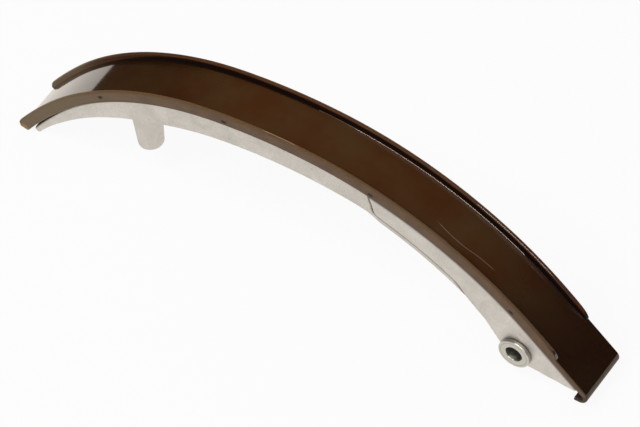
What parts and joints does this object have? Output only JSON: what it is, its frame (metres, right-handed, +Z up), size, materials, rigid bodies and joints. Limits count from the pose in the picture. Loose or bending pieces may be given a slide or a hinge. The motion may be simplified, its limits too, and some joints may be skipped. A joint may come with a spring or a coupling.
{
  "type": "timing chain guide",
  "caption": "Curved chain guide arm with a flanged brown nylon slide lining over a cast aluminium carrier, a pivot bush at one end and a leaning post near the other.",
  "frame": {"origin": "on the ground below the middle of the part, which stands on the two ends of its lining; the chain's middle plane is Y = 0", "axes": "+Z up, +X along the part towards the pivot end, +Y across the chain away from the bush's flange"},
  "size_m": [0.2964, 0.0316, 0.0801],
  "materials": {
    "lining": "dark brown moulded nylon, polished floor and satin sides",
    "casting": "pale grey die-cast skin with fine grain",
    "bush": "turned steel with fine rings on the flange face"
  },
  "bodies": {
    "root": {"slide_lining": "lining", "carrier": "casting", "pivot_bush": "bush"}
  },
  "joints": []
}
